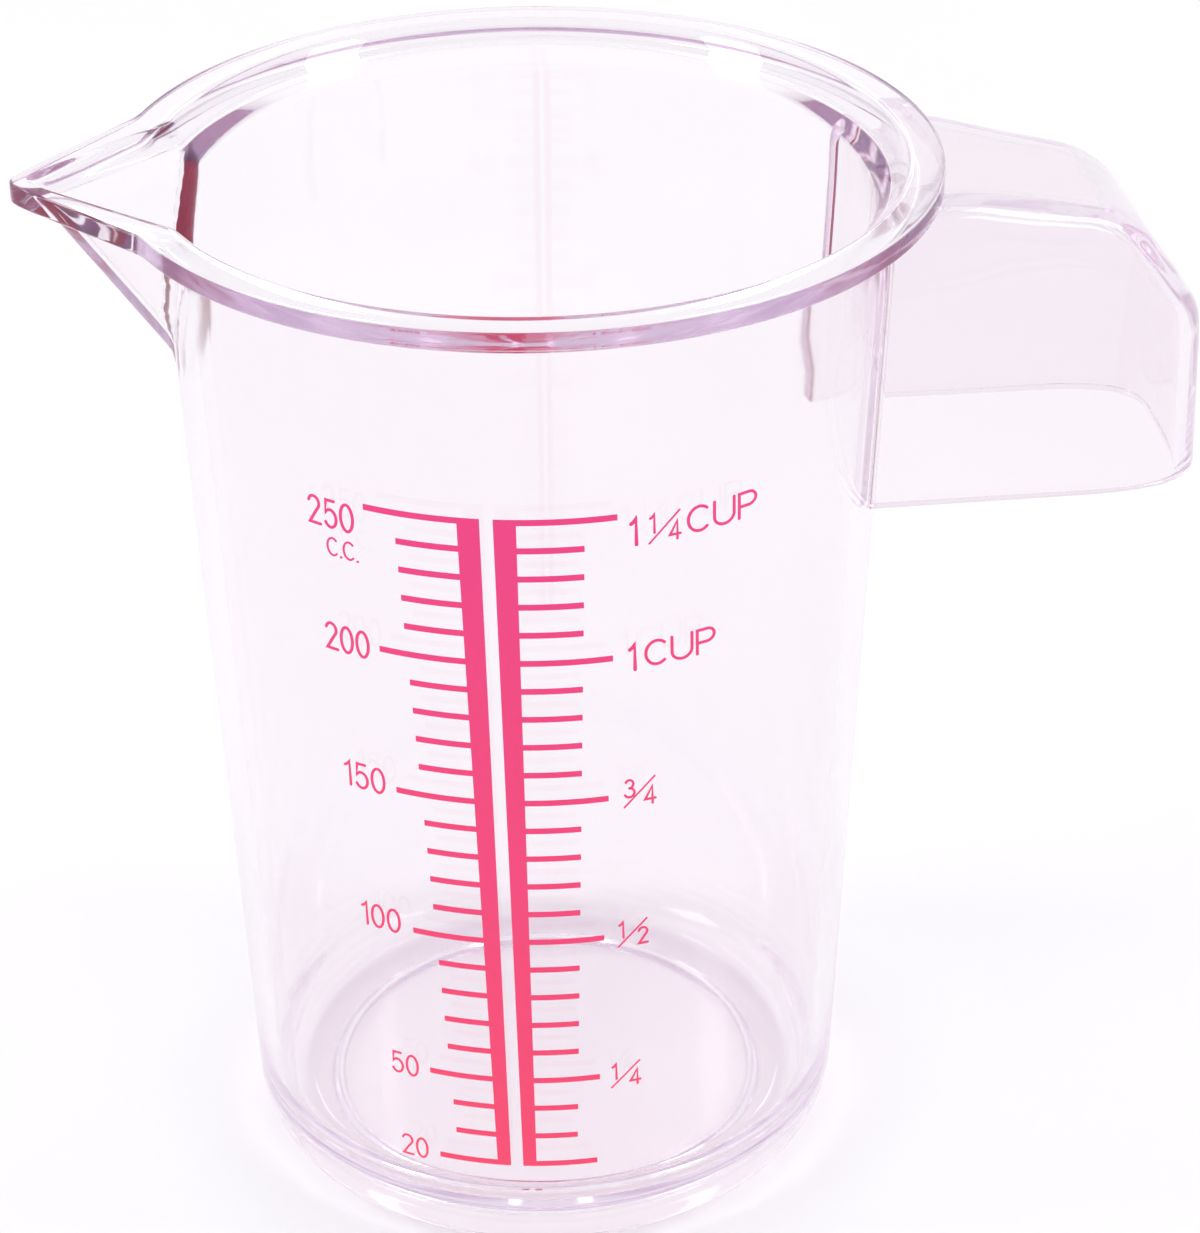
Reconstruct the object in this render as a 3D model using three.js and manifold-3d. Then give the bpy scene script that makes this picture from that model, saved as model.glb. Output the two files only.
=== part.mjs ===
// Clear moulded measuring cup: a tapered beaker with a stepped rim and a pouring spout, a hollow thumb
// handle opposite the spout, and two printed scales side by side on the wall. Millimetres, +Z up.
import * as THREE from "three";
import { ConvexGeometry } from "three/addons/geometries/ConvexGeometry.js";
import { mergeVertices } from "three/addons/utils/BufferGeometryUtils.js";
import Module from "manifold-3d";

// Beaker
const CUP_HEIGHT = 110;
const WALL = 2.1;
const WALL_FOOT_RADIUS = 31; // outer wall carried straight down to the table
const WALL_RIM_RADIUS = 35.7; // outer wall carried straight up to the top of the rim
const BASE_CORNER = 6;
const FOOT_HEIGHT = 2.3;
const FOOT_WIDTH = 1.8;
const FLOOR = 3;
const FLOOR_FILLET = 4.5;

// Stepped rim
const RIM_INNER_RADIUS = 36;
const RIM_DEPTH = 3;
const RIM_WALL = 1.7;
const RIM_FLARE = 4.6;
const FLANGE_RADIUS = 39.9;
const FLANGE_HEIGHT = 2.1;
const FLANGE_BEVEL = 1;
const EDGE = 0.5;

// Spout
const SPOUT_REACH = 49.2; // from the axis of the beaker to the tip
const SPOUT_SPREAD = 1.13; // half width gained for each millimetre back from the tip
const SPOUT_DEPTH = 18.5; // from the top of the rim to the foot of the keel on the wall
const SPOUT_TIP_WIDTH = 2;

// Handle
const HANDLE_REACH = 66.5; // from the axis of the beaker to the outer end
const HANDLE_WIDTH = 26.6; // across the lower edges
const HANDLE_ROOT_TOP_WIDTH = 26; // where the top comes out from under the flange
const HANDLE_END_TOP_WIDTH = 17.2;
const HANDLE_WALL = 2;
const HANDLE_DEPTH = 31.9; // from the underside of the flange to the lower edge
const HANDLE_TOP_FALL = 6; // from the flange to the outer end
const HANDLE_NOSE_LENGTH = 8.5; // the sloping face between the top and the upright end
const HANDLE_NOSE_DROP = 12;
const HANDLE_NOSE_ROUND = 3.5; // above and below the sloping face
const HANDLE_END_ROUND = 9;
const HANDLE_TOP_ROUND = 3.5;
const SEAT_GAP = 0.3;

// Printed scales
const SCALE_ANGLE = -102.6; // degrees about +Z, from +X: the handle is at 0 and the spout at 180
const SCALE_LEAN = 1; // the strip's top stands this much nearer to the spout than its foot
const SCALE_GAP = 1.25; // clear strip between the two bars
const BAR_WIDTH_TOP = 2.1;
const BAR_WIDTH_FOOT = 1.35;
const TICK_HEIGHT = 0.5;
const CC_LONG_REACH = 11.4; // from the middle of the strip to the end of a long mark, at the top
const CC_SHORT_REACH = 8.4;
const CUP_LONG_REACH = 12;
const CUP_SHORT_REACH = 9;
const REACH_TAPER = 0.68; // share of the reach that is left at the lowest mark
const FULL_CC = 250;
const LOWEST_CC = 20;
const CC_STEP = 10;
const LONG_MARKS_CC = [250, 200, 150, 100, 50, 20];
const INK_GAP = 0.1;
const INK_FILM = 0.2;
const TICK_SINK = 0.03; // the marks are this much thinner than the bar on both faces

// Facets
const ROUND_STEPS = 64;
const CORNER_STEPS = 5;
const INK_STEP = 1.5;
const CUT = 5; // how far a cutter runs past what it cuts

const wasm = await Module();
wasm.setup();

// Solids: a closed geometry for joining and cutting, and back again.
function solid(geometry) {
  const bare = geometry.clone();
  bare.deleteAttribute("normal");
  bare.deleteAttribute("uv");
  const merged = mergeVertices(bare, 1e-4);
  const vertProperties = new Float32Array(merged.attributes.position.array);
  const triVerts = new Uint32Array(merged.index.array);
  return new wasm.Manifold(new wasm.Mesh({ numProp: 3, vertProperties, triVerts }));
}

function geometryOf(manifold) {
  const mesh = manifold.getMesh();
  const geometry = new THREE.BufferGeometry();
  geometry.setAttribute("position", new THREE.BufferAttribute(mesh.vertProperties, 3));
  geometry.setIndex(new THREE.BufferAttribute(mesh.triVerts, 1));
  const flat = geometry.toNonIndexed();
  flat.computeVertexNormals();
  return flat;
}

function piece(name, manifold, material) {
  const mesh = new THREE.Mesh(geometryOf(manifold), material);
  mesh.name = name;
  return mesh;
}

// Beaker levels and radii
const flangeBottom = CUP_HEIGHT - FLANGE_HEIGHT;
const ledgeZ = CUP_HEIGHT - RIM_DEPTH;
const flareZ = ledgeZ - RIM_FLARE;
const stepZ = ledgeZ - RIM_WALL;
const stepRadius = RIM_INNER_RADIUS + RIM_WALL;
const floorZ = FOOT_HEIGHT + FLOOR;
const wallSlope = (WALL_RIM_RADIUS - WALL_FOOT_RADIUS) / CUP_HEIGHT;

function wallRadius(z) {
  return WALL_FOOT_RADIUS + wallSlope * z;
}

function innerRadius(z) {
  return wallRadius(z) - WALL;
}

// Height of the liquid's surface when the tapered beaker holds this many cubic centimetres.
function fillHeight(cc) {
  const floorRadius = innerRadius(floorZ);
  const surfaceRadius = Math.cbrt(floorRadius ** 3 + (3 * wallSlope * cc * 1000) / Math.PI);
  return floorZ + (surfaceRadius - floorRadius) / wallSlope;
}

function quarterRound(centreRadius, centreZ, radius) {
  const points = [];
  for (let i = 0; i <= CORNER_STEPS; i++) {
    const angle = (i / CORNER_STEPS - 1) * (Math.PI / 2);
    points.push([centreRadius + radius * Math.cos(angle), centreZ + radius * Math.sin(angle)]);
  }
  return points;
}

function lathe(points) {
  const profile = points.map(([r, z]) => new THREE.Vector2(r, z));
  return solid(new THREE.LatheGeometry(profile, ROUND_STEPS).rotateX(Math.PI / 2));
}

// The beaker's outside as a full solid. With a gap it is that much larger, to seat the handle against.
function beakerOutside(gap = 0) {
  const footOuter = wallRadius(BASE_CORNER) - BASE_CORNER;
  const footInner = footOuter - FOOT_WIDTH;
  const flangeTop = FLANGE_RADIUS - FLANGE_BEVEL;
  const corner = quarterRound(footOuter, BASE_CORNER, BASE_CORNER);
  const above = [
    [wallRadius(flareZ), flareZ],
    [stepRadius, stepZ],
    [stepRadius, flangeBottom - gap],
    [FLANGE_RADIUS, flangeBottom - gap],
    [flangeTop, CUP_HEIGHT - EDGE],
    [flangeTop - EDGE, CUP_HEIGHT],
  ];
  const skin = [...corner, ...above].map(([r, z]) => [r + gap, z]);
  const topZ = CUP_HEIGHT + (gap > 0 ? CUT : 0);
  const lid = gap > 0 ? [[flangeTop, topZ]] : [];
  const foot = [[0, FOOT_HEIGHT], [footInner - EDGE, FOOT_HEIGHT], [footInner, 0]];
  return lathe([...foot, ...skin, ...lid, [0, topZ]]);
}

function beakerInside() {
  const filletRadius = innerRadius(floorZ + FLOOR_FILLET) - FLOOR_FILLET;
  return lathe([
    [0, floorZ],
    ...quarterRound(filletRadius, floorZ + FLOOR_FILLET, FLOOR_FILLET),
    [innerRadius(ledgeZ - EDGE), ledgeZ - EDGE],
    [RIM_INNER_RADIUS, ledgeZ],
    [RIM_INNER_RADIUS, CUP_HEIGHT - EDGE],
    [RIM_INNER_RADIUS + EDGE, CUP_HEIGHT],
    [RIM_INNER_RADIUS + EDGE, CUP_HEIGHT + CUT],
    [0, CUP_HEIGHT + CUT],
  ]);
}

// Spout: V-shaped in plan, with a straight keel that runs down to the wall. It points along -X.
const flankLength = Math.hypot(1, SPOUT_SPREAD);
const spoutRootX = WALL_FOOT_RADIUS - WALL; // inside the beaker, where the cavity cuts it away

function tipBehind(offset) {
  return SPOUT_REACH - (offset * flankLength) / SPOUT_SPREAD;
}

function spoutOutline(tip, z) {
  const tipHalf = SPOUT_TIP_WIDTH / 2;
  const rootHalf = tipHalf + (tip - spoutRootX) * SPOUT_SPREAD;
  const corners = [[tip, tipHalf], [spoutRootX, rootHalf], [spoutRootX, -rootHalf], [tip, -tipHalf]];
  return corners.map(([x, y]) => new THREE.Vector3(-x, y, z));
}

function spoutBand(lowTip, lowZ, highTip, highZ) {
  return solid(new ConvexGeometry([...spoutOutline(lowTip, lowZ), ...spoutOutline(highTip, highZ)]));
}

function spoutWedge(tip, topZ) {
  const keelFootZ = CUP_HEIGHT - SPOUT_DEPTH;
  const sideTip = tipBehind(FLANGE_RADIUS - stepRadius);
  const keelFall = (flangeBottom - keelFootZ) / (sideTip - wallRadius(keelFootZ));
  const keelRoot = new THREE.Vector3(-spoutRootX, 0, topZ - (tip - spoutRootX) * keelFall);
  return solid(new ConvexGeometry([...spoutOutline(tip, topZ), keelRoot]));
}

function cupBody() {
  const sideOffset = FLANGE_RADIUS - stepRadius;
  const rimOffset = FLANGE_RADIUS - RIM_INNER_RADIUS;
  const flange = spoutBand(SPOUT_REACH, flangeBottom, tipBehind(FLANGE_BEVEL), CUP_HEIGHT);
  const sides = spoutWedge(tipBehind(sideOffset), flangeBottom + EDGE);
  const mouth = spoutBand(tipBehind(rimOffset), ledgeZ, tipBehind(rimOffset), CUP_HEIGHT + CUT);
  const channel = spoutWedge(tipBehind(sideOffset + WALL), ledgeZ + EDGE);
  const outside = beakerOutside().add(flange).add(sides);
  return outside.subtract(beakerInside()).subtract(mouth).subtract(channel);
}

// Handle: an outline seen from the side and one seen from above are extruded, and meet a loft between the
// sections at its two ends. With an inset it is the hollow, which is open below.
const handleRootX = WALL_FOOT_RADIUS - WALL;
const handleTopZ = flangeBottom;
const handleBottomZ = handleTopZ - HANDLE_DEPTH;
const handleEndTopZ = handleTopZ - HANDLE_TOP_FALL;
const handleOverhang = HANDLE_REACH - FLANGE_RADIUS;
const handleSlope = HANDLE_TOP_FALL / handleOverhang;
const roundOptions = { bevelEnabled: false, curveSegments: CORNER_STEPS };
const handleNoseX = HANDLE_REACH - HANDLE_NOSE_LENGTH;
const handleNoseZ = handleTopZ - (handleNoseX - FLANGE_RADIUS) * handleSlope;
const handleShoulderZ = handleNoseZ - HANDLE_NOSE_DROP;

// A corner of an outline that runs with its inside on the left, moved inwards with both of its edges.
function insetCorner(before, corner, after, inset) {
  const inward = (from, to) => new THREE.Vector2(from.y - to.y, to.x - from.x).normalize();
  const first = inward(before, corner);
  const second = inward(corner, after);
  return corner.clone().addScaledVector(first.clone().add(second), inset / (1 + first.dot(second)));
}

function roundCorner(path, before, corner, after, round) {
  const start = before.clone().sub(corner).setLength(round).add(corner);
  const end = after.clone().sub(corner).setLength(round).add(corner);
  path.lineTo(start.x, start.y);
  path.quadraticCurveTo(corner.x, corner.y, end.x, end.y);
}

function handleSide(inset) {
  const bottomZ = handleBottomZ - (inset > 0 ? CUT : 0);
  const round = Math.max(HANDLE_NOSE_ROUND - inset, EDGE);
  const rootTopZ = handleTopZ + (FLANGE_RADIUS - handleRootX) * handleSlope;
  const foot = new THREE.Vector2(HANDLE_REACH, bottomZ);
  const shoulder = new THREE.Vector2(HANDLE_REACH, handleShoulderZ);
  const nose = new THREE.Vector2(handleNoseX, handleNoseZ);
  const rootTop = new THREE.Vector2(handleRootX, rootTopZ);
  const innerFoot = new THREE.Vector2(HANDLE_REACH - inset, bottomZ);
  const innerShoulder = insetCorner(foot, shoulder, nose, inset);
  const innerNose = insetCorner(shoulder, nose, rootTop, inset);
  const innerTopZ = innerNose.y + (innerNose.x - handleRootX) * handleSlope;
  const innerTop = new THREE.Vector2(handleRootX, innerTopZ);
  const side = new THREE.Shape();
  side.moveTo(handleRootX, bottomZ);
  side.lineTo(innerFoot.x, innerFoot.y);
  roundCorner(side, innerFoot, innerShoulder, innerNose, round);
  roundCorner(side, innerShoulder, innerNose, innerTop, round);
  side.lineTo(innerTop.x, innerTop.y);
  const geometry = new THREE.ExtrudeGeometry(side, { ...roundOptions, depth: HANDLE_WIDTH });
  geometry.rotateX(Math.PI / 2);
  geometry.translate(0, HANDLE_WIDTH / 2, 0);
  return solid(geometry);
}

function handlePlan(inset) {
  const half = HANDLE_WIDTH / 2 - inset;
  const endX = HANDLE_REACH - inset;
  const round = HANDLE_END_ROUND - inset;
  const plan = new THREE.Shape();
  plan.moveTo(handleRootX, -half);
  plan.lineTo(endX - round, -half);
  plan.absarc(endX - round, -half + round, round, -Math.PI / 2, 0, false);
  plan.absarc(endX - round, half - round, round, 0, Math.PI / 2, false);
  plan.lineTo(handleRootX, half);
  return solid(new THREE.ExtrudeGeometry(plan, { ...roundOptions, depth: CUP_HEIGHT }));
}

function handleSection(x, topZ, topWidth, inset) {
  const footZ = handleBottomZ - 2 * CUT;
  const round = Math.max(HANDLE_TOP_ROUND - inset, EDGE);
  const lean = (HANDLE_WIDTH - topWidth) / 2 / (topZ - handleBottomZ);
  const halfAt = (z) => topWidth / 2 - inset + (topZ - z) * lean;
  const top = topZ - inset;
  const corner = new THREE.QuadraticBezierCurve(
    new THREE.Vector2(halfAt(top - round), top - round),
    new THREE.Vector2(halfAt(top), top),
    new THREE.Vector2(halfAt(top) - round, top),
  );
  const half = [new THREE.Vector2(halfAt(footZ), footZ), ...corner.getPoints(CORNER_STEPS)];
  return half.flatMap(({ x: y, y: z }) => [new THREE.Vector3(x, y, z), new THREE.Vector3(x, -y, z)]);
}

function handleLoft(inset) {
  const back = (FLANGE_RADIUS - handleRootX) / handleOverhang;
  const rootTopZ = handleTopZ + HANDLE_TOP_FALL * back;
  const rootTopWidth = HANDLE_ROOT_TOP_WIDTH + (HANDLE_ROOT_TOP_WIDTH - HANDLE_END_TOP_WIDTH) * back;
  const root = handleSection(handleRootX, rootTopZ, rootTopWidth, inset);
  const end = handleSection(HANDLE_REACH, handleEndTopZ, HANDLE_END_TOP_WIDTH, inset);
  return solid(new ConvexGeometry([...root, ...end]));
}

function handleBlock(inset) {
  return handleSide(inset).intersect(handlePlan(inset)).intersect(handleLoft(inset));
}

function handleBody() {
  return handleBlock(0).subtract(handleBlock(HANDLE_WALL)).subtract(beakerOutside(SEAT_GAP));
}

// Ink: thin boxes bent onto the wall. A box runs from one arc length to another at each of its two ends.
const scaleTopZ = fillHeight(FULL_CC) + TICK_HEIGHT / 2;
const scaleFootZ = fillHeight(LOWEST_CC) - TICK_HEIGHT / 2;

function alongScale(z, atFoot, atTop) {
  const share = (z - scaleFootZ) / (scaleTopZ - scaleFootZ);
  return atFoot + (atTop - atFoot) * share;
}

function inkBox(lowZ, highZ, startAt, endAt, sink) {
  const widest = Math.abs(endAt(highZ) - startAt(highZ));
  const steps = Math.ceil(widest / INK_STEP);
  const box = new THREE.BoxGeometry(1, 1, 1, steps, 1, 1).translate(0.5, 0.5, 0.5);
  const position = box.attributes.position;
  for (let i = 0; i < position.count; i++) {
    const z = lowZ + position.getY(i) * (highZ - lowZ);
    const arc = startAt(z) + position.getX(i) * (endAt(z) - startAt(z));
    const film = sink + position.getZ(i) * (INK_FILM - 2 * sink);
    const lean = alongScale(z, SCALE_LEAN / 2, -SCALE_LEAN / 2);
    const angle = THREE.MathUtils.degToRad(SCALE_ANGLE) + (arc + lean) / wallRadius(z);
    const radius = wallRadius(z) + INK_GAP + film;
    position.setXYZ(i, radius * Math.cos(angle), radius * Math.sin(angle), z);
  }
  return solid(box);
}

// One scale: a bar beside the clear strip, with a mark on its far side for every step of volume.
function scale(side, longReach, shortReach) {
  const ordered = (inner, outer) => (side > 0 ? [inner, outer] : [(z) => -outer(z), (z) => -inner(z)]);
  const barInner = () => SCALE_GAP / 2;
  const barOuter = (z) => SCALE_GAP / 2 + alongScale(z, BAR_WIDTH_FOOT, BAR_WIDTH_TOP);
  const barMiddle = (z) => (barInner(z) + barOuter(z)) / 2;
  let ink = inkBox(scaleFootZ, scaleTopZ, ...ordered(barInner, barOuter), 0);
  for (let cc = LOWEST_CC; cc <= FULL_CC; cc += CC_STEP) {
    const reach = LONG_MARKS_CC.includes(cc) ? longReach : shortReach;
    const end = (z) => alongScale(z, reach * REACH_TAPER, reach);
    const z = fillHeight(cc);
    ink = ink.add(inkBox(z - TICK_HEIGHT / 2, z + TICK_HEIGHT / 2, ...ordered(barMiddle, end), TICK_SINK));
  }
  return ink;
}

function clearPlastic() {
  return new THREE.MeshStandardMaterial({
    color: 0xf4eaf2,
    roughness: 0.06,
    metalness: 0,
    transparent: true,
    opacity: 0.3,
  });
}

function printedInk() {
  return new THREE.MeshStandardMaterial({ color: 0xf0307c, roughness: 0.4, metalness: 0 });
}

// The beaker's axis is off the origin, so that the spout and the handle reach equally far along X.
const measuringCup = new THREE.Group();
measuringCup.position.x = (SPOUT_REACH - HANDLE_REACH) / 2;
measuringCup.add(
  piece("cup_body", cupBody(), clearPlastic()),
  piece("handle", handleBody(), clearPlastic()),
  piece("cc_scale", scale(-1, CC_LONG_REACH, CC_SHORT_REACH), printedInk()),
  piece("cup_scale", scale(1, CUP_LONG_REACH, CUP_SHORT_REACH), printedInk()),
);

export default measuringCup;
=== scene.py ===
import math

import bmesh
import bpy
import numpy as np
from mathutils import Matrix, Vector


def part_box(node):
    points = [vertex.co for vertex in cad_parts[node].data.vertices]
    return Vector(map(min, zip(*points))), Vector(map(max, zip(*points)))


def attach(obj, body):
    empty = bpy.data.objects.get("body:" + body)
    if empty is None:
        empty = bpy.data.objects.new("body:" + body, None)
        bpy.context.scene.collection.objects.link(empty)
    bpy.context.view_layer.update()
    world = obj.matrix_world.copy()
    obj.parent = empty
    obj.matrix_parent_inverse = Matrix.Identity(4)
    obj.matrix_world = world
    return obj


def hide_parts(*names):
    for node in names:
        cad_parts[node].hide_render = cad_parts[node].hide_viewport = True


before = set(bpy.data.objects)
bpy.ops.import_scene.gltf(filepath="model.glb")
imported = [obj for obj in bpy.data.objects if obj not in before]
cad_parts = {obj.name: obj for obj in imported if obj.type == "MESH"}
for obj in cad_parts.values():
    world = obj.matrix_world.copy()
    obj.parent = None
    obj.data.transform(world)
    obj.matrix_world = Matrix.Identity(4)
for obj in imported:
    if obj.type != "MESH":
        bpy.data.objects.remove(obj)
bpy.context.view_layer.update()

mm = 0.001
bodyLow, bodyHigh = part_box("cup_body")
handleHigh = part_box("handle")[1]
axisX = bodyHigh.x - bodyHigh.y  # the flange is as wide along X as along Y
print("frame loaded, beaker axis at x =", round(axisX / mm, 2), "mm")


# Node writing: a socket that takes part in Python maths, and one method that makes every other node
class Socket:
    def __init__(self, maker, link):
        self.maker = maker
        self.link = link

    def maths(self, operation, first, second=0.0):
        return self.maker.add("ShaderNodeMath", {"operation": operation}, {0: first, 1: second})

    def __add__(self, other):
        return self.maths("ADD", self, other)

    def __radd__(self, other):
        return self.maths("ADD", other, self)

    def __sub__(self, other):
        return self.maths("SUBTRACT", self, other)

    def __rsub__(self, other):
        return self.maths("SUBTRACT", other, self)

    def __mul__(self, other):
        return self.maths("MULTIPLY", self, other)

    def __rmul__(self, other):
        return self.maths("MULTIPLY", other, self)

    def __truediv__(self, other):
        return self.maths("DIVIDE", self, other)

    def __rtruediv__(self, other):
        return self.maths("DIVIDE", other, self)

    def __pow__(self, other):
        return self.maths("POWER", self, other)

    def __mod__(self, other):
        return self.maths("MODULO", self, other)

    def __lt__(self, other):
        return self.maths("LESS_THAN", self, other)

    def cos(self):
        return self.maths("COSINE", self)

    def sin(self):
        return self.maths("SINE", self)

    def orElse(self, other):
        return self.maths("MAXIMUM", self, other)

    def clamped(self):
        return self.maths("MINIMUM", self.maths("MAXIMUM", self, 0.0), 1.0)


class Nodes:
    def __init__(self, tree):
        self.tree = tree

    def add(self, kind, settings=None, sockets=None, output=0):
        node = self.tree.nodes.new(kind)
        for name, value in (settings or {}).items():
            if name == "stops":
                self.setStops(node.color_ramp, value)
            else:
                setattr(node, name, value)
        for name, value in (sockets or {}).items():
            if isinstance(value, Socket):
                self.tree.links.new(value.link, node.inputs[name])
            else:
                node.inputs[name].default_value = value
        return Socket(self, node.outputs[output]) if node.outputs else node

    def setStops(self, ramp, stops):
        while len(ramp.elements) < len(stops):
            ramp.elements.new(1.0)
        for element, (place, colour) in zip(ramp.elements, stops):
            element.position = place
            element.color = colour

    def split(self, vector):
        parts = self.add("ShaderNodeSeparateXYZ", None, {0: vector}).link.node
        return [Socket(self, parts.outputs[i]) for i in range(3)]

    def join(self, x, y, z):
        return self.add("ShaderNodeCombineXYZ", None, {0: x, 1: y, 2: z})


# Materials
def newMaterial(name):
    material = bpy.data.materials.new(name)
    material.use_nodes = True
    material.node_tree.nodes.clear()
    return material, Nodes(material.node_tree)


clearLook = {
    "tint": (0.979, 0.956, 0.968, 1.0),
    "handleTint": (0.957, 0.915, 0.938, 1.0),
    "ior": 1.5,
    "roughness": 0.02,
    "roughnessSpread": 0.035,
    "cloudScale": 55.0,  # per metre
    "cloudDetail": 3.0,
    "waveScale": 38.0,
    "waveDetail": 1.0,
    "waveDepth": 0.05 * mm,
    "waveStrength": 0.25,
    "bodyTint": (0.58, 0.32, 0.62, 1.0),
    "bodyDensity": 6.0,  # per metre
}


def clearPlastic(name, tint):
    material, nodes = newMaterial(name)
    place = nodes.add("ShaderNodeTexCoord", None, None, "Object")
    clouds = nodes.add(
        "ShaderNodeTexNoise",
        None,
        {"Vector": place, "Scale": clearLook["cloudScale"], "Detail": clearLook["cloudDetail"]},
    )
    waves = nodes.add(
        "ShaderNodeTexNoise",
        None,
        {"Vector": place, "Scale": clearLook["waveScale"], "Detail": clearLook["waveDetail"]},
    )
    bump = nodes.add(
        "ShaderNodeBump",
        None,
        {"Strength": clearLook["waveStrength"], "Distance": clearLook["waveDepth"], "Height": waves},
    )
    surface = nodes.add(
        "ShaderNodeBsdfPrincipled",
        None,
        {
            "Base Color": tint,
            "Roughness": clearLook["roughness"] + clouds * clearLook["roughnessSpread"],
            "IOR": clearLook["ior"],
            "Transmission Weight": 1.0,
            "Normal": bump,
        },
    )
    inside = nodes.add(
        "ShaderNodeVolumeAbsorption",
        None,
        {"Color": clearLook["bodyTint"], "Density": clearLook["bodyDensity"]},
    )
    nodes.add("ShaderNodeOutputMaterial", None, {"Surface": surface, "Volume": inside})
    return material


inkLook = {
    "top": (0.86, 0.035, 0.215, 1.0),
    "foot": (0.95, 0.05, 0.13, 1.0),
    "height": 0.09,  # where the top colour is reached
    "roughness": 0.42,
    "roughnessSpread": 0.2,
    "grainScale": 2600.0,  # per metre
    "grainDetail": 2.0,
    "grainShare": 0.16,
    "grainDepth": 0.012 * mm,
}


def printedInk():
    material, nodes = newMaterial("printedInk")
    place = nodes.add("ShaderNodeTexCoord", None, None, "Object")
    up = nodes.split(place)[2]
    grain = nodes.add(
        "ShaderNodeTexNoise",
        None,
        {"Vector": place, "Scale": inkLook["grainScale"], "Detail": inkLook["grainDetail"]},
    )
    share = (up / inkLook["height"] + (grain - 0.5) * inkLook["grainShare"]).clamped()
    roughness = inkLook["roughness"] + (grain - 0.5) * inkLook["roughnessSpread"]
    colour = nodes.add(
        "ShaderNodeValToRGB",
        {"stops": [(0.0, inkLook["foot"]), (1.0, inkLook["top"])]},
        {"Fac": share},
    )
    bump = nodes.add("ShaderNodeBump", None, {"Distance": inkLook["grainDepth"], "Height": grain})
    surface = nodes.add(
        "ShaderNodeBsdfPrincipled",
        None,
        {"Base Color": colour, "Roughness": roughness, "Normal": bump},
    )
    nodes.add("ShaderNodeOutputMaterial", None, {"Surface": surface})
    return material


floorLook = {
    "dim": (0.35, (0.87, 0.87, 0.875, 1.0)),  # place on the ramp and colour
    "pale": (0.65, (0.9, 0.9, 0.9, 1.0)),
    "scale": 9.0,
    "roughness": 0.6,
}


def paleFloor():
    material, nodes = newMaterial("paleFloor")
    place = nodes.add("ShaderNodeTexCoord", None, None, "Object")
    clouds = nodes.add("ShaderNodeTexNoise", None, {"Vector": place, "Scale": floorLook["scale"]})
    colour = nodes.add(
        "ShaderNodeValToRGB", {"stops": [floorLook["dim"], floorLook["pale"]]}, {"Fac": clouds}
    )
    surface = nodes.add(
        "ShaderNodeBsdfPrincipled", None, {"Base Color": colour, "Roughness": floorLook["roughness"]}
    )
    nodes.add("ShaderNodeOutputMaterial", None, {"Surface": surface})
    return material


plastic = clearPlastic("clearPlastic", clearLook["tint"])
handlePlastic = clearPlastic("handlePlastic", clearLook["handleTint"])
ink = printedInk()
print("materials made")


# Mesh helpers: shapes are worked out in millimetres from the beaker's axis, then put in the frame
mergeDistance = 0.001 * mm
arcPull = 0.5523  # makes a cubic curve follow a quarter circle


def inFrame(point):
    return (axisX + point[0] * mm, point[1] * mm, point[2] * mm)


def newPiece(name, mesh, material):
    mesh.name = name
    piece = bpy.data.objects.new(name, mesh)
    bpy.context.scene.collection.objects.link(piece)
    mesh.materials.clear()
    mesh.materials.append(material)
    return piece


def meshFrom(name, points, faces):
    shape = bmesh.new()
    corners = [shape.verts.new(p) for p in points]
    for face in faces:
        shape.faces.new([corners[i] for i in face])
    bmesh.ops.remove_doubles(shape, verts=shape.verts, dist=mergeDistance)
    bmesh.ops.dissolve_degenerate(shape, edges=shape.edges, dist=mergeDistance / 2)
    for face in shape.faces:
        face.smooth = True
    mesh = bpy.data.meshes.new(name)
    shape.to_mesh(mesh)
    shape.free()
    return mesh


def turnFacesOut(mesh):
    shape = bmesh.new()
    shape.from_mesh(mesh)
    bmesh.ops.recalc_face_normals(shape, faces=shape.faces)
    shape.to_mesh(mesh)
    shape.free()


def finishedMesh(piece):
    depsgraph = bpy.context.evaluated_depsgraph_get()
    mesh = bpy.data.meshes.new_from_object(piece.evaluated_get(depsgraph))
    old = piece.data
    piece.modifiers.clear()
    piece.data = mesh
    bpy.data.meshes.remove(old)
    return piece


def curveAround(start, corner, end, share):
    # a rounded corner
    first = start + (corner - start) * arcPull
    second = end + (corner - end) * arcPull
    rest = 1 - share
    return rest**3 * start + 3 * rest**2 * share * first + 3 * rest * share**2 * second + share**3 * end


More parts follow.
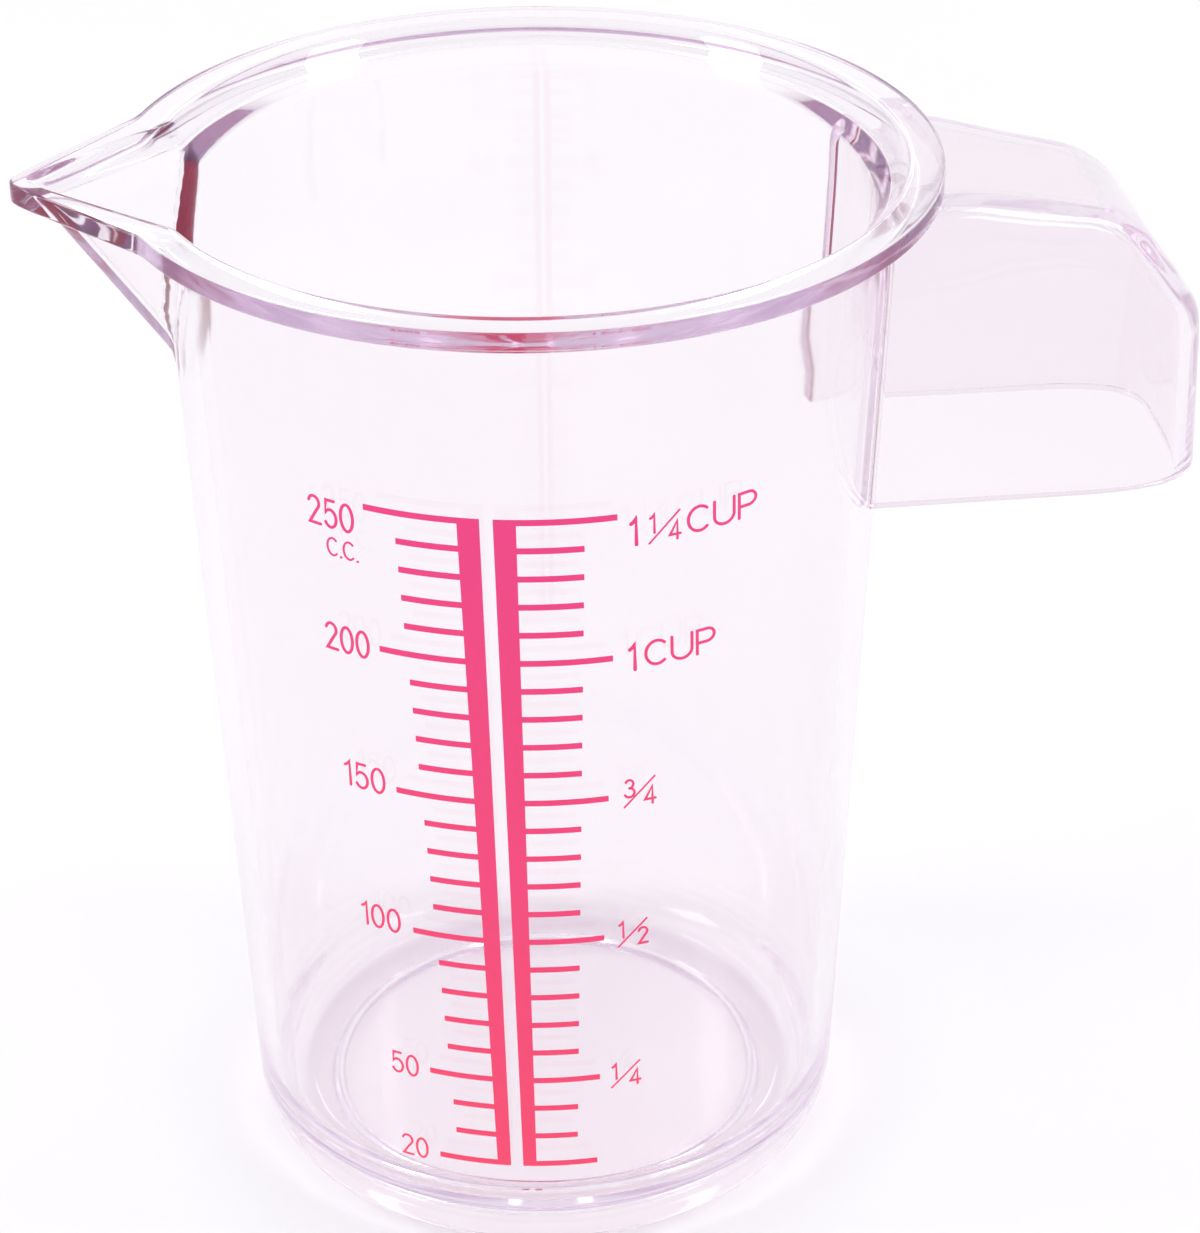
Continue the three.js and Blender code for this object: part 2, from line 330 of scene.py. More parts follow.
# Beaker
cup = {
    "height": bodyHigh.z / mm,
    "wall": 2.1,
    "footRadius": 31.0,  # the outer wall carried down to the table
    "rimRadius": 35.7,  # and up to the top of the rim
    "baseCorner": 6.0,
    "footHeight": 2.3,
    "footWidth": 1.8,
    "floor": 3.0,
    "floorFillet": 4.5,
    "mouthRadius": 36.5,
    "funnelDepth": 3.67,  # depths are from the top of the rim
    "neckDepth": 10.0,  # the wall stands upright above this
    "flangeRadius": bodyHigh.y / mm,
    "flangeHeight": 2.1,
    "flangeRoot": 2.83,
    "spoutReach": (axisX - bodyLow.x) / mm,
    "spoutSpread": 1.13,  # half width of the lip's V for each millimetre behind its tip
    "channelSpread": 0.9,  # the same under the lip and inside
    "spoutDepth": 18.5,
    "mouthSetBack": 1.7,  # along the spout, from the tip
    "keelSetBack": 3.2,
    "spoutWall": 2.5,
    "spoutTipHalf": 1.0,
    "spoutBlend": 0.5,
    "baseRadius": 27.9,  # rings smaller than this don't reach into the spout
    "footLean": 0.7,  # of the foot ring's inner side
    "rounds": {
        "hollow": 0.9,
        "foot": 0.4,
        "neck": 1.6,
        "flangeRoot": 0.3,
        "flangeLow": 0.25,
        "flangeTop": 0.3,
        "mouth": 0.4,
        "funnel": 0.6,
    },
    "ringStep": 1.4,
    "cornerSteps": 5,
    "largeRound": 2.0,  # rounds above this size have the next number of steps
    "largeSteps": 15,
    # degrees from the tip, start and end, and the number of columns between
    "columns": [(0.0, 2.5, 10), (2.5, 12.0, 17), (12.0, 27.0, 70), (27.0, 180.0, 94)],
}
wallSlope = (cup["rimRadius"] - cup["footRadius"]) / cup["height"]
flangeBottom = cup["height"] - cup["flangeHeight"]
flangeRoot = cup["height"] - cup["flangeRoot"]
funnelFoot = cup["height"] - cup["funnelDepth"]
neckFoot = cup["height"] - cup["neckDepth"]
floorHeight = cup["footHeight"] + cup["floor"]


def wallRadius(z):
    return cup["footRadius"] + wallSlope * z


def innerRadius(z):
    return wallRadius(z) - cup["wall"]


keelFoot = cup["height"] - cup["spoutDepth"]
keelReach = cup["spoutReach"] - cup["keelSetBack"]
keelFall = (flangeRoot - keelFoot) / (keelReach - wallRadius(keelFoot))


def keelTip(z):
    return keelReach - (flangeRoot - z) / keelFall


def channelTip(z):
    return keelTip(z) - cup["spoutWall"]


def cupProfile():
    footOuter = wallRadius(cup["baseCorner"]) - cup["baseCorner"]
    footInner = footOuter - cup["footWidth"]
    high = cup["height"]
    flange = cup["flangeRadius"]
    mouth = cup["mouthRadius"]
    neck = wallRadius(neckFoot)
    reach = cup["spoutReach"]
    lip = cup["spoutSpread"]
    channel = cup["channelSpread"]
    rounds = cup["rounds"]
    # radius, height, tip and spread of the V, rounding
    return [
        (0.0, cup["footHeight"], keelTip(0), channel, 0.0),
        (footInner - cup["footLean"], cup["footHeight"], keelTip(0), channel, rounds["hollow"]),
        (footInner, 0.0, keelTip(0), channel, rounds["foot"]),
        (wallRadius(0), 0.0, keelTip(0), channel, cup["baseCorner"]),
        (neck, neckFoot, keelTip(neckFoot), channel, rounds["neck"]),
        (neck, flangeRoot, keelReach, channel, rounds["flangeRoot"]),
        (flange, flangeBottom, reach, lip, rounds["flangeLow"]),
        (flange, high, reach, lip, rounds["flangeTop"]),
        (mouth, high, reach - cup["mouthSetBack"], channel, rounds["mouth"]),
        (innerRadius(funnelFoot), funnelFoot, channelTip(funnelFoot), channel, rounds["funnel"]),
        (innerRadius(floorHeight), floorHeight, channelTip(floorHeight), channel, cup["floorFillet"]),
        (0.0, floorHeight, channelTip(floorHeight), channel, 0.0),
    ]


def roundedProfile(corners):
    stops = [np.array(c[:4]) for c in corners]
    sizes = [c[4] for c in corners]
    points = [stops[0]]

    def runTo(target):
        count = max(1, math.ceil(np.linalg.norm((target - points[-1])[:2]) / cup["ringStep"]))
        start = points[-1]
        points.extend(start + (target - start) * (i / count) for i in range(1, count + 1))

    for i in range(1, len(stops) - 1):
        before, here, after = stops[i - 1], stops[i], stops[i + 1]
        lengthIn = np.linalg.norm((here - before)[:2])
        lengthOut = np.linalg.norm((after - here)[:2])
        # a round takes up half of an edge at most
        start = here + (before - here) * min(sizes[i] / lengthIn, 0.5)
        end = here + (after - here) * min(sizes[i] / lengthOut, 0.5)
        runTo(start)
        count = cup["largeSteps"] if sizes[i] > cup["largeRound"] else cup["cornerSteps"]
        points.extend(curveAround(start, here, end, j / count) for j in range(1, count + 1))
    runTo(stops[-1])
    return points


def softMax(a, b, blend):
    return max(a, b) + max(blend - abs(a - b), 0.0) ** 2 / (4 * blend)


def ringRadius(radius, tip, spread, turn):
    half = cup["spoutTipHalf"]
    turn = min(abs(turn), math.atan(1 / spread))
    blunt = half / cup["spoutReach"]
    across = math.sqrt(math.sin(turn) ** 2 + blunt**2)
    vee = (half + tip * spread) / (across + spread * math.cos(turn))
    return softMax(radius, vee, cup["spoutBlend"])


def cupColumns():
    turns = [0.0]
    for start, end, count in cup["columns"]:
        turns.extend(start + (end - start) * i / count for i in range(1, count + 1))
    turns = [math.radians(t) for t in turns]
    return turns + [-t for t in reversed(turns[1:-1])]


def makeCup():
    profile = roundedProfile(cupProfile())
    turns = cupColumns()
    columns = len(turns)
    points = [inFrame((0, 0, profile[0][1]))]
    for radius, z, tip, spread in profile[1:-1]:
        for turn in turns:
            reach = ringRadius(radius, tip, spread, turn) if radius > cup["baseRadius"] else radius
            points.append(inFrame((-reach * math.cos(turn), reach * math.sin(turn), z)))
    points.append(inFrame((0, 0, profile[-1][1])))
    rings = len(profile) - 2
    last = len(points) - 1
    faces = []
    for j in range(columns):
        k = (j + 1) % columns
        faces.append((0, 1 + j, 1 + k))
        for i in range(rings - 1):
            low, high = 1 + i * columns, 1 + (i + 1) * columns
            faces.append((low + j, high + j, high + k, low + k))
        top = 1 + (rings - 1) * columns
        faces.append((top + j, last, top + k))
    mesh = meshFrom("clearCup", points, faces)
    turnFacesOut(mesh)
    return newPiece("clearCup", mesh, plastic)


clearCup = makeCup()
print("beaker:", len(clearCup.data.polygons), "faces")


# Handle
handle = {
    "reach": (handleHigh.x - axisX) / mm,
    "lowerHalf": handleHigh.y / mm,
    "rootTopHalf": 13.0,
    "endTopHalf": 8.6,
    "depth": 31.9,  # from the underside of the flange to the lower edge
    "topFall": 6.0,
    "noseLength": 8.5,  # the sloping face between the top and the upright end
    "noseDrop": 12.0,
    "shoulderBlend": 2.0,
    "capLength": 9.0,
    "capSquareness": (3.6, 8.0),  # at the foot and at the top
    "shoulderShare": 0.6,  # share of the side's height below the sloping face
    "noseRound": 2.5,
    "topRound": 3.5,
    "topBlend": 0.8,
    "crownHalf": 1.0,  # the least half width of the flat top
    "wall": 2.0,
    "seatGap": 0.12,
    "edgeRound": 0.4,
    "edgeSteps": 3,
    "edgeAngle": 50.0,
    "settleRounds": 4,  # a point's place and its section depend on each other
    "rootCrowding": 1.4,  # columns stand closer near the beaker
    "sideColumns": 34,
    "endColumns": 44,
    "sideRings": 26,
    "cornerRings": 8,
    "topRings": 7,
}
handleBottom = flangeBottom - handle["depth"]
handleOverhang = handle["reach"] - cup["flangeRadius"]
noseStart = handle["reach"] - handle["noseLength"]
capStart = noseStart - handle["capLength"]


def seatRadius(z):
    # the beaker's outside, up to the flange
    heights = [0.0, neckFoot, flangeRoot, flangeBottom]
    radii = [wallRadius(0), wallRadius(neckFoot), wallRadius(neckFoot), cup["flangeRadius"]]
    return float(np.interp(z, heights, radii))


def handleTop(x):
    slope = handle["topFall"] / handleOverhang
    sloped = flangeBottom - (x - cup["flangeRadius"]) * slope
    return -softMax(-sloped, -(flangeBottom - handle["seatGap"]), handle["topBlend"])


def handleHalf(x, z):
    along = (x - cup["flangeRadius"]) / handleOverhang
    topHalf = handle["rootTopHalf"] + (handle["endTopHalf"] - handle["rootTopHalf"]) * along
    share = (z - handleBottom) / (handleTop(x) - handleBottom)
    return handle["lowerHalf"] + min(topHalf - handle["lowerHalf"], 0.0) * share


def handleEnd(z):
    fallen = (handleTop(noseStart) - z) / handle["noseDrop"]
    sloped = noseStart + handle["noseLength"] * fallen
    return -softMax(-handle["reach"], -sloped, handle["shoulderBlend"])


def handlePoint(ring, x, cap):
    # cap is 0 along the sides and 1 at the middle of the end; gives half width, height and end
    top = handleTop(x)
    rounding = handle["topRound"] + (handle["noseRound"] - handle["topRound"]) * cap
    zone, share = ring
    if zone == "side":
        z = handleBottom + (top - rounding - handleBottom) * share
        return handleHalf(x, z), z, handleEnd(z)
    start = np.array([handleHalf(x, top - rounding), top - rounding, handleEnd(top - rounding)])
    corner = np.array([handleHalf(x, top), top, handleEnd(top)])
    flatHalf = max(corner[0] - rounding, handle["crownHalf"])
    end = np.array([flatHalf, top, corner[2] - handle["noseRound"]])
    if zone == "corner":
        return tuple(curveAround(start, corner, end, share))
    return end[0] * (1 - share), top, end[2] + (capStart - end[2]) * share


def capSquareness(ring):
    zone, share = ring
    low, high = handle["capSquareness"]
    if zone != "side":
        return high
    sloping = max(share - handle["shoulderShare"], 0.0) / (1 - handle["shoulderShare"])
    return low + (high - low) * sloping


def handleRow(ring):
    row = []
    count = handle["sideColumns"]
    for i in range(count):
        x = capStart
        for again in range(handle["settleRounds"]):
            half, z, end = handlePoint(ring, x, 0.0)
            root = math.sqrt((seatRadius(z) + handle["seatGap"]) ** 2 - half**2)
            x = root + (capStart - root) * (i / count) ** handle["rootCrowding"]
        half, z, end = handlePoint(ring, x, 0.0)
        row.append((x, -half, z))
    power = 2 / capSquareness(ring)
    for i in range(handle["endColumns"] + 1):
        turn = math.pi * (i / handle["endColumns"] - 0.5)
        forward = max(math.cos(turn), 0.0) ** power
        across = math.copysign(abs(math.sin(turn)) ** power, math.sin(turn))
        x = capStart
        for again in range(handle["settleRounds"]):
            half, z, end = handlePoint(ring, x, forward)
            x = capStart + (end - capStart) * forward
        row.append((x, half * across, z))
    return row + [(x, -y, z) for x, y, z in reversed(row[:count])]


def makeHandle():
    rings = [("side", i / handle["sideRings"]) for i in range(handle["sideRings"])]
    rings += [("corner", i / handle["cornerRings"]) for i in range(handle["cornerRings"])]
    rings += [("top", i / handle["topRings"]) for i in range(handle["topRings"] + 1)]
    rows = [handleRow(ring) for ring in rings]
    columns = len(rows[0])
    points = [inFrame(p) for row in rows for p in row]
    faces = []
    for i in range(len(rows) - 1):
        for j in range(columns - 1):
            low, high = i * columns + j, (i + 1) * columns + j
            faces.append((low, low + 1, high + 1, high))
    piece = newPiece("clearHandle", meshFrom("clearHandle", points, faces), handlePlastic)
    shell = piece.modifiers.new("wall", "SOLIDIFY")
    shell.thickness = handle["wall"] * mm
    shell.offset = -1.0
    shell.use_even_offset = True
    edges = piece.modifiers.new("edges", "BEVEL")
    edges.width = handle["edgeRound"] * mm
    edges.segments = handle["edgeSteps"]
    edges.limit_method = "ANGLE"
    edges.angle_limit = math.radians(handle["edgeAngle"])
    return finishedMesh(piece)


clearHandle = makeHandle()
print("handle:", len(clearHandle.data.polygons), "faces")


# Printed scales: Geometry Nodes lay the bar and its marks out flat and bend them onto the wall
scale = {
    "angle": -102.1,  # degrees about +Z from the handle
    "lean": 1.0,
    "gap": 1.25,
    "barTop": 2.1,
    "barFoot": 1.35,
    "markHeight": 0.62,
    "lowestCc": 20.0,
    "fullCc": 250.0,
    "stepCc": 10.0,
    "longEveryCc": 50.0,
    "taper": 0.68,
    "lift": -0.04,  # the ink is keyed into the wall
    "film": 0.09,
    "barFilm": 1.02,  # the bar's film as a share of the marks', so that no two faces coincide
    "markColumns": 12,
    "barRows": 90,
    "ccReach": (11.8, 8.8),  # long and short marks, from the middle of the strip, at the top
    "cupReach": (12.0, 9.0),
}


cubicMm = 1000  # in a cubic centimetre


def fillHeight(cc):
    floorRadius = innerRadius(floorHeight)
    surface = (floorRadius**3 + 3 * wallSlope * cc * cubicMm / math.pi) ** (1 / 3)
    return floorHeight + (surface - floorRadius) / wallSlope


scaleTop = fillHeight(scale["fullCc"]) + scale["markHeight"] / 2
scaleFoot = fillHeight(scale["lowestCc"]) - scale["markHeight"] / 2


def scaleTree():
    tree = bpy.data.node_groups.new("printedScale", "GeometryNodeTree")
    tree.interface.new_socket("Scale", in_out="OUTPUT", socket_type="NodeSocketGeometry")
    names = ["side", "longReach", "shortReach", "gap", "barTop", "barFoot", "markHeight", "taper"]
    names += ["lowestCc", "stepCc", "longEveryCc", "foot", "top", "film", "lift", "angle", "lean"]
    names += ["wallFootRadius", "slope", "floorRadius", "floorHeight", "axis"]
    for name in names:
        tree.interface.new_socket(name, in_out="INPUT", socket_type="NodeSocketFloat")
    tree.interface.new_socket("marks", in_out="INPUT", socket_type="NodeSocketInt")
    tree.interface.new_socket("ink", in_out="INPUT", socket_type="NodeSocketMaterial")
    nodes = Nodes(tree)
    group = tree.nodes.new("NodeGroupInput")
    given = {s.name: Socket(nodes, s) for s in group.outputs if s.name}

    def upShare(z):
        return (z - given["foot"]) / (given["top"] - given["foot"])

    def barWidth(z):
        return given["barFoot"] + (given["barTop"] - given["barFoot"]) * upShare(z)

    # marks: one point a step of volume, at the height where the beaker holds it
    index = nodes.add("GeometryNodeInputIndex")
    cc = given["lowestCc"] + given["stepCc"] * index
    surface = (given["floorRadius"] ** 3 + cc * given["slope"] * (3 * cubicMm / math.pi)) ** (1 / 3)
    height = given["floorHeight"] + (surface - given["floorRadius"]) / given["slope"]
    # long marks, found to half a cc
    isLong = ((cc + 0.5) % given["longEveryCc"] < 1.0).orElse(cc < given["lowestCc"] + 0.5)
    reach = given["shortReach"] + (given["longReach"] - given["shortReach"]) * isLong
    reach = reach * (given["taper"] + (1 - given["taper"]) * upShare(height))
    start = given["gap"] / 2 + barWidth(height) / 2
    line = nodes.add("GeometryNodeMeshLine", None, {"Count": given["marks"]})
    spots = nodes.add(
        "GeometryNodeSetPosition", None, {"Geometry": line, "Position": nodes.join(start, height, 0.0)}
    )
    cells = {"Vertices X": scale["markColumns"], "Vertices Y": 2, "Vertices Z": 2}
    mark = nodes.add("GeometryNodeMeshCube", None, cells)
    mark = nodes.add("GeometryNodeTransform", None, {"Geometry": mark, "Translation": (0.5, 0.0, 0.5)})
    size = nodes.join(reach - start, given["markHeight"], given["film"])
    marks = nodes.add(
        "GeometryNodeInstanceOnPoints", None, {"Points": spots, "Instance": mark, "Scale": size}
    )
    marks = nodes.add("GeometryNodeRealizeInstances", None, {"Geometry": marks})

    # bar: a unit block drawn out to the scale's height
    cells = {"Vertices X": 3, "Vertices Y": scale["barRows"], "Vertices Z": 2}
    bar = nodes.add("GeometryNodeMeshCube", None, cells)
    x, y, z = nodes.split(nodes.add("GeometryNodeInputPosition"))
    barHeight = given["foot"] + (given["top"] - given["foot"]) * (y + 0.5)
    across = given["gap"] / 2 + barWidth(barHeight) * (x + 0.5)
    spread = nodes.join(across, barHeight, given["film"] * (z + 0.5) * scale["barFilm"])
    bar = nodes.add("GeometryNodeSetPosition", None, {"Geometry": bar, "Position": spread})

    flat = nodes.add("GeometryNodeJoinGeometry")
    for part in (bar, marks):
        tree.links.new(part.link, flat.link.node.inputs[0])
    x, y, z = nodes.split(nodes.add("GeometryNodeInputPosition"))
    wall = given["wallFootRadius"] + given["slope"] * y
    arc = x * given["side"] + given["lean"] * (0.5 - upShare(y))
    turn = given["angle"] * (math.pi / 180) + arc / wall
    radius = wall + given["lift"] + z
    bent = nodes.join((given["axis"] + radius * turn.cos()) * mm, radius * turn.sin() * mm, y * mm)
    bent = nodes.add("GeometryNodeSetPosition", None, {"Geometry": flat, "Position": bent})
    whole = nodes.add("GeometryNodeRealizeInstances", None, {"Geometry": bent})
    whole = nodes.add("GeometryNodeSetMaterial", None, {"Geometry": whole, "Material": given["ink"]})
    nodes.add("NodeGroupOutput", None, {"Scale": whole})
    return tree


scaleNodes = scaleTree()


def makeScale(name, side, reach):
    piece = newPiece(name, bpy.data.meshes.new(name), ink)
    printing = piece.modifiers.new("printing", "NODES")
    printing.node_group = scaleNodes
    values = {
        "side": side, "longReach": reach[0], "shortReach": reach[1], "foot": scaleFoot, "top": scaleTop,
        "wallFootRadius": cup["footRadius"], "slope": wallSlope, "floorRadius": innerRadius(floorHeight),
        "floorHeight": floorHeight, "axis": axisX / mm, "ink": ink,
        "marks": round((scale["fullCc"] - scale["lowestCc"]) / scale["stepCc"]) + 1,
    }
    for socket in scaleNodes.interface.items_tree:
        if socket.in_out == "INPUT":
            value = values[socket.name] if socket.name in values else scale[socket.name]
            printing[socket.identifier] = value
    finishedMesh(piece)
    turnFacesOut(piece.data)
    return piece


ccScale = makeScale("ccScaleInk", -1.0, scale["ccReach"])
cupScale = makeScale("cupScaleInk", 1.0, scale["cupReach"])
print("scales:", len(ccScale.data.polygons), "and", len(cupScale.data.polygons), "faces")


# Numbers: a plain single-stroke alphabet, each sign one unit tall, laid on the wall like the marks
def bow(x, y, wide, tall, start, end, steps=18):
    turns = [math.radians(start + (end - start) * i / steps) for i in range(steps + 1)]
    return [(x + wide * math.cos(t), y + tall * math.sin(t)) for t in turns]


signs = {
    "0": (0.50, [bow(0.25, 0.5, 0.25, 0.5, 90, 450, 32)]),
    "1": (0.26, [[(0.02, 0.8), (0.12, 0.86), (0.22, 1.0), (0.22, 0.0)]]),
    "2": (0.50, [bow(0.25, 0.75, 0.23, 0.25, 165, -30) + [(0.3, 0.42), (0.02, 0.0), (0.5, 0.0)]]),
    "3": (0.48, [bow(0.22, 0.76, 0.2, 0.24, 150, -90), bow(0.22, 0.26, 0.25, 0.26, 90, -155)]),
    "4": (0.54, [[(0.38, 0.0), (0.38, 1.0), (0.0, 0.27), (0.54, 0.27)]]),
    "5": (0.50, [[(0.44, 1.0), (0.1, 1.0), (0.05, 0.52)] + bow(0.25, 0.33, 0.25, 0.33, 140, -150)]),
    "C": (0.74, [bow(0.4, 0.5, 0.4, 0.5, 48, 312, 26)]),
    "U": (0.74, [[(0.0, 1.0)] + bow(0.37, 0.36, 0.37, 0.36, 180, 360) + [(0.74, 1.0)]]),
    "P": (
        0.66,
        [[(0.0, 0.0), (0.0, 1.0), (0.38, 1.0)] + bow(0.38, 0.73, 0.28, 0.27, 90, -90) + [(0.0, 0.46)]],
    ),
    ".": (0.06, [[(0.0, 0.0), (0.06, 0.0)]]),
    "/": (1.0, [[(0.0, 0.0), (1.0, 1.0)]]),
}

# text, left end along the wall from the middle of the strip, baseline, height, width, stroke
ccLabels = [
    ("250", -17.9, 85.4, 2.85, 4.9, 0.3),
    ("C.C.", -16.0, 82.4, 1.85, 3.3, 0.2),
    ("200", -16.95, 71.9, 2.8, 4.7, 0.3),
    ("150", -15.95, 56.6, 2.75, 4.4, 0.28),
    ("100", -15.15, 40.15, 2.65, 4.25, 0.27),
    ("50", -12.85, 22.3, 2.5, 2.9, 0.25),
    ("20", -12.25, 11.75, 2.45, 2.8, 0.24),
]
cupLabels = [
    ("1", 13.2, 85.35, 2.8, 0.62, 0.36),
    ("CUP", 18.85, 85.5, 2.6, 7.4, 0.3),
    ("1", 12.8, 71.75, 2.8, 0.62, 0.36),
    ("CUP", 14.4, 71.95, 2.6, 7.1, 0.3),
]
# left end, lower end of the slash, height over all, upper and lower number
cupFractions = [
    (14.95, 85.2, 3.05, "1", "4"),
    (11.95, 56.15, 3.1, "3", "4"),
    (11.0, 39.55, 2.95, "1", "2"),
    (9.9, 21.9, 2.95, "1", "4"),
]
fraction = {
    "digit": 0.64,  # shares of the height over all
    "slashWide": 1.0,
    "stroke": 0.24,
    "slashStroke": 0.17,
    "upperIn": 0.1,  # the upper number stands in from the slash's left end
    "lowerOut": 0.05,  # and the lower one out past its right end
}
labelLook = {"endSteps": 8, "spacing": 0.2, "sharpest": 0.5}


def strokesOf(text, left, base, tall, wide, stroke):
    # each stroke with its half width, stretched so that the text is as wide as asked
    free = sum(signs[c][0] for c in text) + labelLook["spacing"] * (len(text) - 1)
    stretch = wide / free
    found = []
    at = 0.0
    for c in text:
        width, lines = signs[c]
        for line in lines:
            found.append(([(left + (at + x) * stretch, base + y * tall) for x, y in line], stroke / 2))
        at += width + labelLook["spacing"]
    return found


def fractionStrokes(left, base, tall, upper, lower):
    small = tall * fraction["digit"]
    wide = tall * fraction["slashWide"]
    upperWide = signs[upper][0] * small
    lowerWide = signs[lower][0] * small
    stroke = fraction["stroke"]
    found = strokesOf(upper, left + fraction["upperIn"], base + tall - small, small, upperWide, stroke)
    lowerLeft = left + wide - lowerWide + fraction["lowerOut"]
    found += strokesOf(lower, lowerLeft, base, small, lowerWide, stroke)
    found += strokesOf("/", left, base, tall, wide, fraction["slashStroke"])
    return found


def onWall(arc, z, lift):
    share = (z - scaleFoot) / (scaleTop - scaleFoot)
    lean = scale["lean"] * (0.5 - share)
    turn = math.radians(scale["angle"]) + (arc + lean) / wallRadius(z)
    radius = wallRadius(z) + scale["lift"] + lift
    return inFrame((radius * math.cos(turn), radius * math.sin(turn), z))


def strokeOutline(line, half):
    # the two sides of a stroke's band, and whether it closes on itself
    path = [np.array(p) for p in line]
    closed = np.linalg.norm(path[0] - path[-1]) < 1e-6
    left, right = [], []
    for i, here in enumerate(path):
        before = path[i - 1] if i else (path[-2] if closed else here)
        after = path[i + 1] if i + 1 < len(path) else (path[1] if closed else here)
        into = here - before
        out = after - here
        into = into / (np.linalg.norm(into) or 1.0)
        out = out / (np.linalg.norm(out) or 1.0)
        along = into + out
        along = along / np.linalg.norm(along)
        square = max(abs(along @ (out if np.any(out) else into)), labelLook["sharpest"])
        normal = np.array([-along[1], along[0]]) * half / square
        left.append(here + normal)
        right.append(here - normal)
    return left, right, closed


def roundEnd(centre, start, half, steps):
    first = math.atan2(start[1] - centre[1], start[0] - centre[0])
    turns = [first - math.pi * i / steps for i in range(1, steps)]
    return [centre + half * np.array([math.cos(t), math.sin(t)]) for t in turns]


def makeLabels(name, strokes):
    points, faces = [], []

    def film(outline):
        # a thin closed plate, bent onto the wall
        start = len(points)
        count = len(outline)
        points.extend(onWall(x, z, 0.0) for x, z in outline)
        points.extend(onWall(x, z, scale["film"]) for x, z in outline)
        faces.append([start + count + i for i in range(count)])
        faces.append([start + i for i in reversed(range(count))])
        for i in range(count):
            j = (i + 1) % count
            faces.append([start + i, start + j, start + count + j, start + count + i])

    for line, half in strokes:
        left, right, closed = strokeOutline(line, half)
        for i in range(len(left) - 1):
            film([right[i], right[i + 1], left[i + 1], left[i]])
        if not closed:
            steps = labelLook["endSteps"]
            first, last = np.array(line[0]), np.array(line[-1])
            film([right[0], left[0]] + list(reversed(roundEnd(first, right[0], half, steps))))
            film([left[-1], right[-1]] + list(reversed(roundEnd(last, left[-1], half, steps))))
    mesh = bpy.data.meshes.new(name)
    mesh.from_pydata(points, [], faces)
    turnFacesOut(mesh)
    return newPiece(name, mesh, ink)


ccNumbers = makeLabels("ccNumbersInk", [s for label in ccLabels for s in strokesOf(*label)])
cupStrokes = [s for label in cupLabels for s in strokesOf(*label)]
cupStrokes += [s for label in cupFractions for s in fractionStrokes(*label)]
cupNumbers = makeLabels("cupNumbersInk", cupStrokes)
print("numbers:", len(ccNumbers.data.polygons), "and", len(cupNumbers.data.polygons), "faces")


# Floor, light and camera
room = {
    "under": 0.15 * mm,  # the floor lies this far below the foot
    "flatRadius": 1.0,
    "sweepRadius": 0.4,
    "wallTop": 0.45,
    "flatRings": 8,
    "sweepRings": 40,
    "columns": 96,
    "world": (0.93, 0.92, 0.95, 1.0),
    "worldStrength": 1.05,
    "lampAim": (0.0, 0.0, 0.1),
    "bounces": 96,  # light runs far inside clear walls
}


def makeFloor():
    # flat under the beaker, swept up all round
    flatRings, sweepRings = room["flatRings"], room["sweepRings"]
    profile = [(room["flatRadius"] * i / flatRings, 0.0) for i in range(flatRings + 1)]
    for i in range(1, sweepRings + 1):
        turn = math.pi / 2 * i / sweepRings
        sweep = room["sweepRadius"]
        profile.append((room["flatRadius"] + sweep * math.sin(turn), sweep * (1 - math.cos(turn))))
    profile.append((profile[-1][0], room["wallTop"]))
    count = room["columns"]
    points = [(0.0, 0.0, -room["under"])]
    for r, z in profile[1:]:
        turns = [2 * math.pi * j / count for j in range(count)]
        points.extend((r * math.cos(t), r * math.sin(t), z - room["under"]) for t in turns)
    faces = [(0, 1 + j, 1 + (j + 1) % count) for j in range(count)]
    for i in range(len(profile) - 2):
        for j in range(count):
            k = (j + 1) % count
            low, high = 1 + i * count, 1 + (i + 1) * count
            faces.append((low + j, high + j, high + k, low + k))
    return newPiece("paleFloor", meshFrom("paleFloor", points, faces), paleFloor())


floor = makeFloor()

lamps = [
    # name, place, width, height, watts
    ("leftWindow", (-0.95, 0.03, 0.98), 0.3, 0.5, 2.4),
    ("rightWindow", (0.9, -0.24, 1.02), 0.3, 0.5, 2.4),
    ("backLeftStrip", (0.005, 1.2, 0.61), 0.032, 0.2, 0.15),
    ("backRightStrip", (0.2, 1.18, 0.61), 0.024, 0.2, 0.12),
]


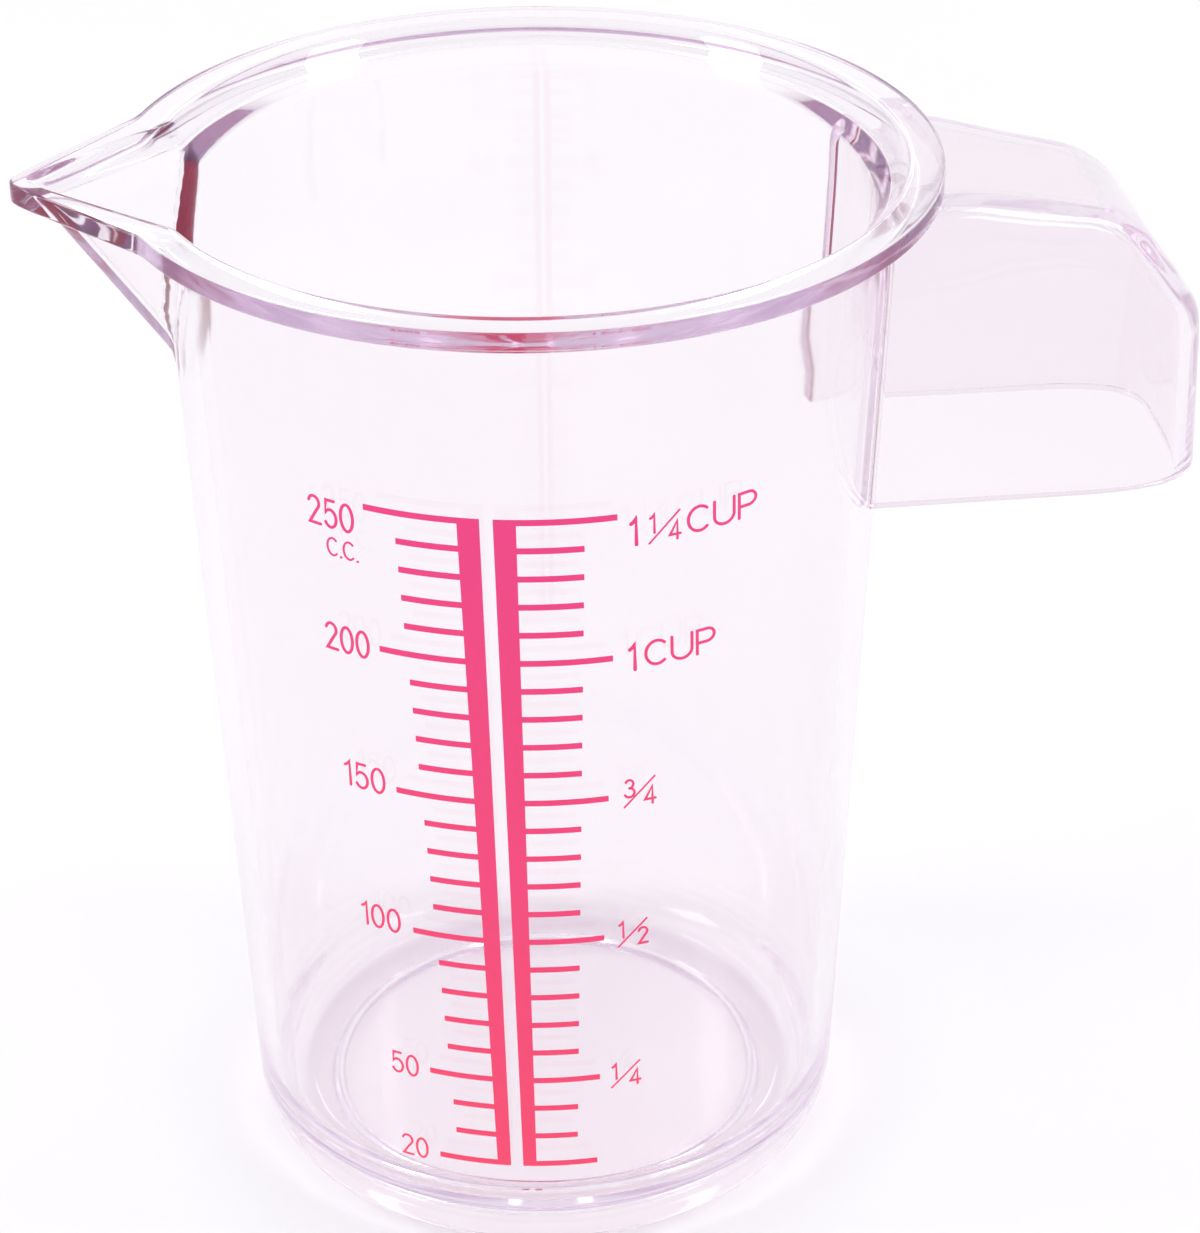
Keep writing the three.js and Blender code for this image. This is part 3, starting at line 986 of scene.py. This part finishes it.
def makeLamp(name, place, width, height, watts):
    light = bpy.data.lights.new(name, "AREA")
    light.shape = "RECTANGLE"
    light.size = width
    light.size_y = height
    light.energy = watts
    lamp = bpy.data.objects.new(name, light)
    direction = Vector(room["lampAim"]) - Vector(place)
    turned = direction.to_track_quat("-Z", "Y").to_matrix().to_4x4()
    lamp.matrix_world = Matrix.Translation(place) @ turned
    bpy.context.scene.collection.objects.link(lamp)


for lamp in lamps:
    makeLamp(*lamp)

world = bpy.data.worlds.new("studio")
world.use_nodes = True
backdrop = world.node_tree.nodes["Background"]
backdrop.inputs["Color"].default_value = room["world"]
backdrop.inputs["Strength"].default_value = room["worldStrength"]
studio = bpy.context.scene
studio.world = world
studio.view_settings.view_transform = "Standard"
studio.cycles.max_bounces = room["bounces"]
studio.cycles.transmission_bounces = room["bounces"]
studio.cycles.glossy_bounces = room["bounces"]
studio.cycles.blur_glossy = 0.0

photoView = {
    "place": (-39.57, -321.08, 244.98),  # millimetres in the frame
    "right": (0.99153, -0.12983, -0.00301),
    "up": (0.06719, 0.49305, 0.86740),
    "forward": (0.11113, 0.86026, -0.49760),
    "focal": 3620.54,  # in pixels of the photograph
    "centre": (639.1, 604.6),  # pixel on the lens axis
    "width": 1200,
    "tall": 1233,
    "sensor": 36.0,
    "near": 0.01,
}


def makeCamera():
    view = photoView
    lens = bpy.data.cameras.new("photoView")
    lens.sensor_fit = "VERTICAL"
    lens.sensor_height = view["sensor"]
    lens.sensor_width = view["sensor"]
    lens.lens = view["focal"] / view["tall"] * view["sensor"]
    lens.shift_x = (view["width"] / 2 - view["centre"][0]) / view["tall"]
    lens.shift_y = (view["centre"][1] - view["tall"] / 2) / view["tall"]
    lens.clip_start = view["near"]
    camera = bpy.data.objects.new("photoView", lens)
    axes = Matrix([view["right"], view["up"], [-v for v in view["forward"]]]).transposed()
    camera.matrix_world = Matrix.Translation(Vector(view["place"]) * mm) @ axes.to_4x4()
    bpy.context.scene.collection.objects.link(camera)
    bpy.context.scene.camera = camera


makeCamera()
print("floor, lamps and camera made")

for piece in (clearCup, clearHandle, ccScale, cupScale, ccNumbers, cupNumbers):
    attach(piece, "root")
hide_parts("cup_body")
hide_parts("handle")
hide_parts("cc_scale")
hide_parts("cup_scale")
